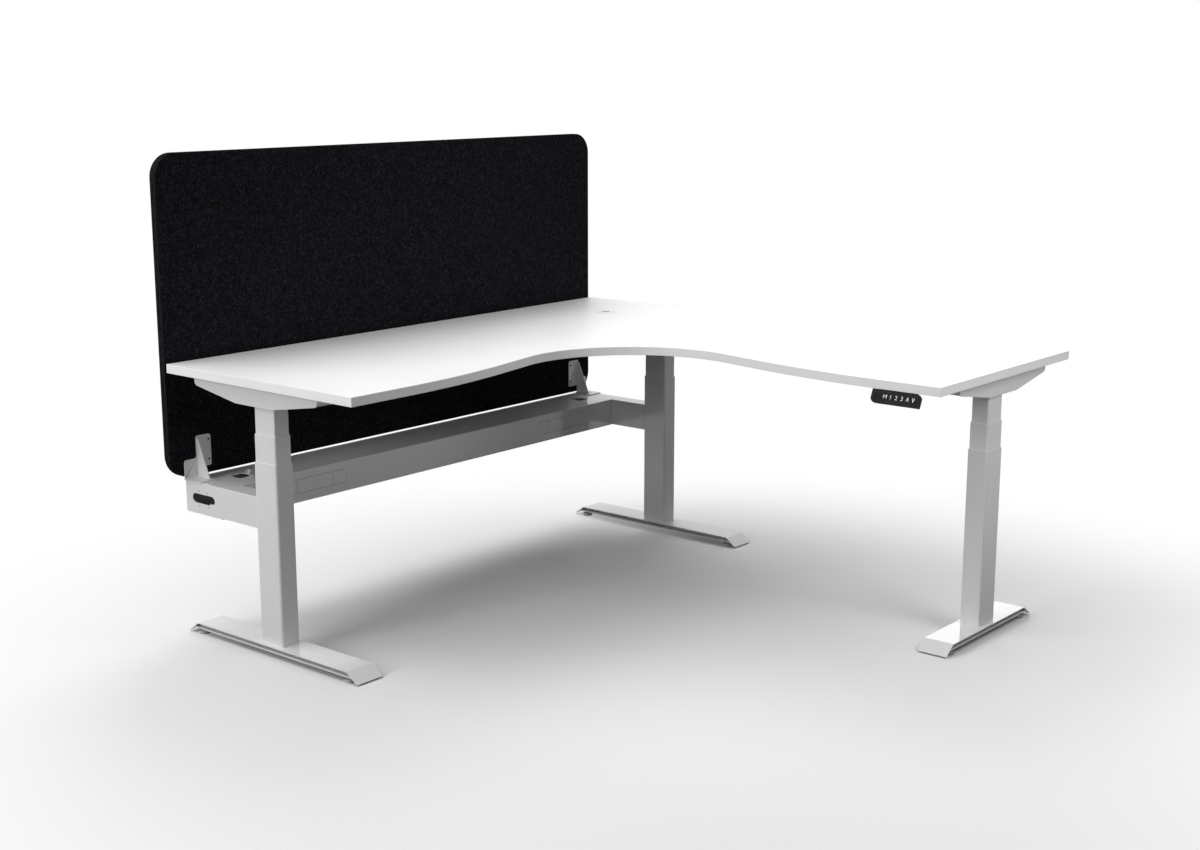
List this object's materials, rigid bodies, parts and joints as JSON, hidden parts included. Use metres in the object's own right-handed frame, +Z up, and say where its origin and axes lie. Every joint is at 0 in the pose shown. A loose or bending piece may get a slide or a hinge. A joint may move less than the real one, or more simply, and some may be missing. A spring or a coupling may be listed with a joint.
{
  "type": "cubicle workstation",
  "caption": "L-shaped height-adjustable corner workstation with a wave-fronted top, telescopic columns, a cable beam, a fabric privacy screen and a handset.",
  "frame": {"origin": "on the floor, under the middle of the object's bounding box", "axes": "+Z up; +X along the screened long wing, from its free end to the corner; +Y from the user towards the screen; the return wing runs along -Y from the corner"},
  "size_m": [1.8, 1.833, 1.34],
  "materials": {
    "melamine_board": "white melamine, fine matt grain",
    "abs_edge": "white ABS edge band",
    "powder_coat": "pale grey-white powder coat, satin",
    "felt_black": "black felted wool-look fabric with pale flecks",
    "seam_charcoal": "charcoal core board, matt",
    "acetal_white": "natural acetal",
    "abs_charcoal": "charcoal ABS, fine spark texture",
    "window_black": "smoked acrylic",
    "zinc_steel": "zinc plated",
    "black_zinc": "black zinc plated",
    "spindle_steel": "rolled bare steel, oiled",
    "motor_grey": "dark grey cast housing, painted",
    "nylon_grey": "grey nylon"
  },
  "bodies": {
    "base_frame": {"left_outer_tube": "powder_coat", "corner_outer_tube": "powder_coat", "return_outer_tube": "powder_coat", "outer_glide_pads": "acetal_white", "left_foot": "powder_coat", "corner_foot": "powder_coat", "return_foot": "powder_coat", "foot_bolts": "zinc_steel", "cable_beam": "powder_coat", "beam_cover": "powder_coat", "left_beam_arm": "powder_coat", "corner_beam_arm": "powder_coat", "left_outlet_panels": "powder_coat", "corner_outlet_panels": "powder_coat", "cable_clip": "acetal_white", "left_screen_bracket": "powder_coat", "corner_screen_bracket": "powder_coat", "screen_front_panel": "felt_black", "screen_core": "seam_charcoal", "screen_rear_panel": "felt_black", "frame_screws": "black_zinc"},
    "desk_top": {"worktop": "melamine_board", "edge_band": "abs_edge", "cable_port": "acetal_white", "left_arm": "powder_coat", "corner_arm": "powder_coat", "return_arm": "powder_coat", "left_gearmotor": "motor_grey", "corner_gearmotor": "motor_grey", "return_gearmotor": "motor_grey", "left_inner_tube": "powder_coat", "corner_inner_tube": "powder_coat", "return_inner_tube": "powder_coat", "main_rails": "powder_coat", "return_rails": "powder_coat", "control_box": "abs_charcoal", "handset_housing": "abs_charcoal", "handset_window": "window_black", "board_screws": "zinc_steel"},
    "left_stage": {"left_middle_tube": "powder_coat", "left_stage_guides": "acetal_white"},
    "left_drive": {"left_spindle": "spindle_steel"},
    "corner_stage": {"corner_middle_tube": "powder_coat", "corner_stage_guides": "acetal_white"},
    "corner_drive": {"corner_spindle": "spindle_steel"},
    "return_stage": {"return_middle_tube": "powder_coat", "return_stage_guides": "acetal_white"},
    "return_drive": {"return_spindle": "spindle_steel"},
    "left_rear_levellers": {"left_rear_glides": "nylon_grey"},
    "left_front_levellers": {"left_front_glides": "nylon_grey"},
    "corner_rear_levellers": {"corner_rear_glides": "nylon_grey"},
    "corner_front_levellers": {"corner_front_glides": "nylon_grey"},
    "return_rear_levellers": {"return_rear_glides": "nylon_grey"},
    "return_front_levellers": {"return_front_glides": "nylon_grey"},
    "memory_button": {"key_memory": "abs_charcoal"},
    "one_button": {"key_one": "abs_charcoal"},
    "two_button": {"key_two": "abs_charcoal"},
    "three_button": {"key_three": "abs_charcoal"},
    "up_button": {"key_up": "abs_charcoal"},
    "down_button": {"key_down": "abs_charcoal"}
  },
  "joints": [
    {"name": "desk_lift", "type": "slide", "parent": "base_frame", "child": "desk_top", "axis": [0, 0, 1], "range_m": [-0.15, 0.5]},
    {"name": "left_stage_lift", "type": "slide", "parent": "base_frame", "child": "left_stage", "axis": [0, 0, 1], "range_m": [-0.075, 0.25]},
    {"name": "left_spindle_turn", "type": "hinge", "parent": "desk_top", "child": "left_drive", "pos_m": [-0.83, 0.5285, 0.7], "axis": [0, 0, 1], "range_deg": [-1351, 4501]},
    {"name": "corner_stage_lift", "type": "slide", "parent": "base_frame", "child": "corner_stage", "axis": [0, 0, 1], "range_m": [-0.075, 0.25]},
    {"name": "corner_spindle_turn", "type": "hinge", "parent": "desk_top", "child": "corner_drive", "pos_m": [0.847, 0.5285, 0.7], "axis": [0, 0, 1], "range_deg": [-1351, 4501]},
    {"name": "return_stage_lift", "type": "slide", "parent": "base_frame", "child": "return_stage", "axis": [0, 0, 1], "range_m": [-0.075, 0.25]},
    {"name": "return_spindle_turn", "type": "hinge", "parent": "desk_top", "child": "return_drive", "pos_m": [0.545, -0.8465, 0.7], "axis": [0, 0, 1], "range_deg": [-1351, 4501]},
    {"name": "left_rear_glide_screws", "type": "slide", "parent": "base_frame", "child": "left_rear_levellers", "axis": [0, 0, -1], "range_m": [0, 0.007]},
    {"name": "left_front_glide_screws", "type": "slide", "parent": "base_frame", "child": "left_front_levellers", "axis": [0, 0, -1], "range_m": [0, 0.007]},
    {"name": "corner_rear_glide_screws", "type": "slide", "parent": "base_frame", "child": "corner_rear_levellers", "axis": [0, 0, -1], "range_m": [0, 0.007]},
    {"name": "corner_front_glide_screws", "type": "slide", "parent": "base_frame", "child": "corner_front_levellers", "axis": [0, 0, -1], "range_m": [0, 0.007]},
    {"name": "return_rear_glide_screws", "type": "slide", "parent": "base_frame", "child": "return_rear_levellers", "axis": [0, 0, -1], "range_m": [0, 0.007]},
    {"name": "return_front_glide_screws", "type": "slide", "parent": "base_frame", "child": "return_front_levellers", "axis": [0, 0, -1], "range_m": [0, 0.007]},
    {"name": "memory_press", "type": "slide", "parent": "desk_top", "child": "memory_button", "axis": [0.9135, 0, -0.4067], "range_m": [0, 0.0006], "stiffness_N_per_m": 800, "springref_m": -0.0006},
    {"name": "one_press", "type": "slide", "parent": "desk_top", "child": "one_button", "axis": [0.9135, 0, -0.4067], "range_m": [0, 0.0006], "stiffness_N_per_m": 800, "springref_m": -0.0006},
    {"name": "two_press", "type": "slide", "parent": "desk_top", "child": "two_button", "axis": [0.9135, 0, -0.4067], "range_m": [0, 0.0006], "stiffness_N_per_m": 800, "springref_m": -0.0006},
    {"name": "three_press", "type": "slide", "parent": "desk_top", "child": "three_button", "axis": [0.9135, 0, -0.4067], "range_m": [0, 0.0006], "stiffness_N_per_m": 800, "springref_m": -0.0006},
    {"name": "up_press", "type": "slide", "parent": "desk_top", "child": "up_button", "axis": [0.9135, 0, -0.4067], "range_m": [0, 0.0006], "stiffness_N_per_m": 800, "springref_m": -0.0006},
    {"name": "down_press", "type": "slide", "parent": "desk_top", "child": "down_button", "axis": [0.9135, 0, -0.4067], "range_m": [0, 0.0006], "stiffness_N_per_m": 800, "springref_m": -0.0006}
  ],
  "couplings": [
    {"joint": "left_stage_lift", "follows": "desk_lift", "ratio": 0.5},
    {"joint": "left_spindle_turn", "follows": "desk_lift", "rad_per_m": 157.08},
    {"joint": "corner_stage_lift", "follows": "desk_lift", "ratio": 0.5},
    {"joint": "corner_spindle_turn", "follows": "desk_lift", "rad_per_m": 157.08},
    {"joint": "return_stage_lift", "follows": "desk_lift", "ratio": 0.5},
    {"joint": "return_spindle_turn", "follows": "desk_lift", "rad_per_m": 157.08}
  ]
}
